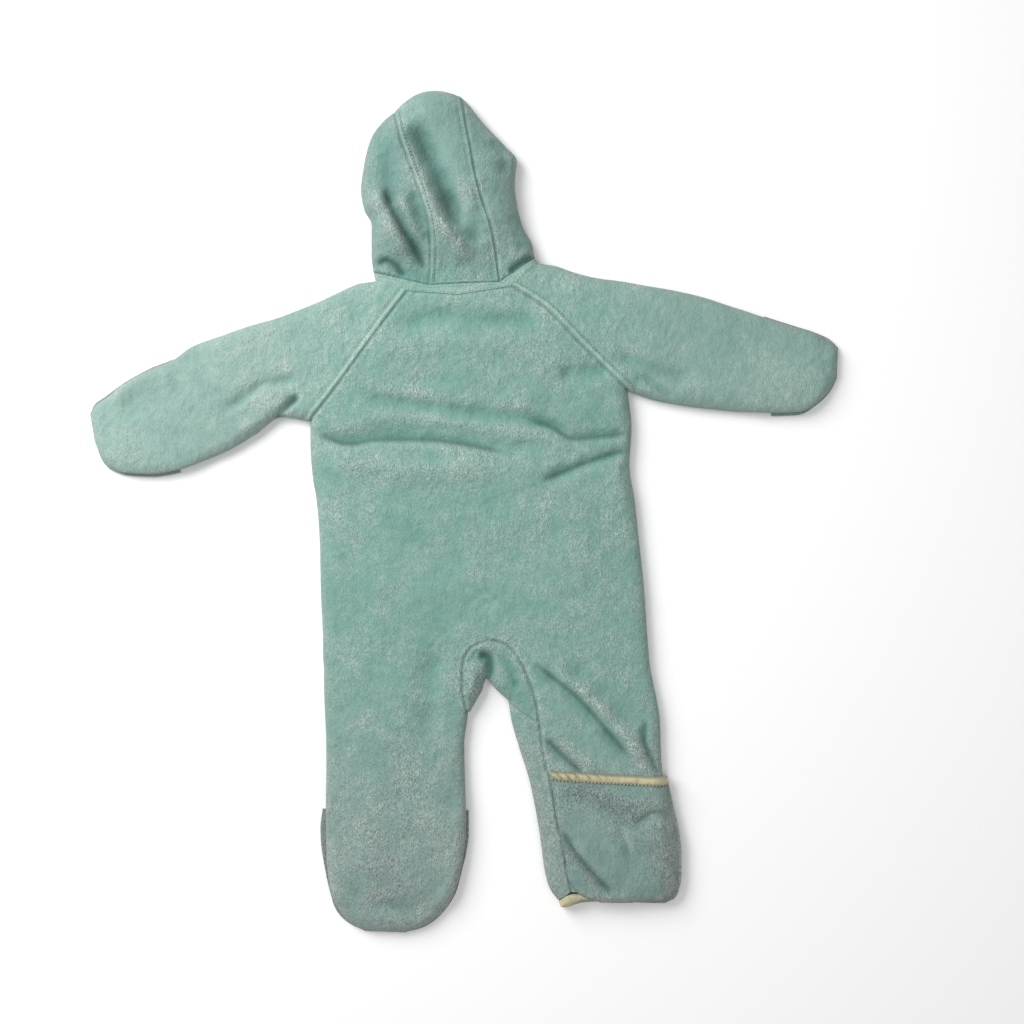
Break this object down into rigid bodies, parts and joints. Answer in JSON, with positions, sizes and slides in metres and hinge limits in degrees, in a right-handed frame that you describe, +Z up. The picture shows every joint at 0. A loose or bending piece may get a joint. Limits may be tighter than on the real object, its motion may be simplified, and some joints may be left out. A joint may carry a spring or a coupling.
{
  "type": "fleece bunting suit",
  "caption": "baby's hooded fleece bunting suit with raglan sleeves, fold-over mitts and bound foot pouches, laid face down with one pouch folded up",
  "frame": {"origin": "on the table, under the middle of the laid-out suit's bounding box", "axes": "+Y from the feet to the hood, +Z up through the back, +X to the wearer's right"},
  "size_m": [0.7122, 0.8, 0.0378],
  "materials": {
    "plush_fleece": "matt plush fleece, seafoam green",
    "knit_binding": "cream knit binding",
    "woven_zip_tape": "woven zip tape, seafoam green",
    "enamelled_zinc": "satin cream enamel"
  },
  "bodies": {
    "suit": {"back_panel": "plush_fleece", "front_left": "plush_fleece", "front_right": "plush_fleece", "crotch_gusset": "plush_fleece", "sleeve_left": "plush_fleece", "sleeve_right": "plush_fleece", "mitt_left": "plush_fleece", "mitt_right": "plush_fleece", "mitt_binding_left": "knit_binding", "mitt_binding_right": "knit_binding", "foot_pouch_left": "plush_fleece", "foot_binding_left": "knit_binding", "foot_pouch_right": "plush_fleece", "foot_binding_right": "knit_binding", "leg_hem_binding_right": "knit_binding", "hood_centre": "plush_fleece", "hood_side_left": "plush_fleece", "hood_side_right": "plush_fleece", "neck_band": "plush_fleece", "zip_tape": "woven_zip_tape", "zip_slider": "enamelled_zinc"},
    "pull": {"zip_pull": "enamelled_zinc"}
  },
  "joints": [
    {"name": "zip_pull_hinge", "type": "hinge", "parent": "suit", "child": "pull", "pos_m": [-0.00642, 0.18045, 0.0016], "axis": [1, 0, 0], "range_deg": [0, 175]}
  ]
}
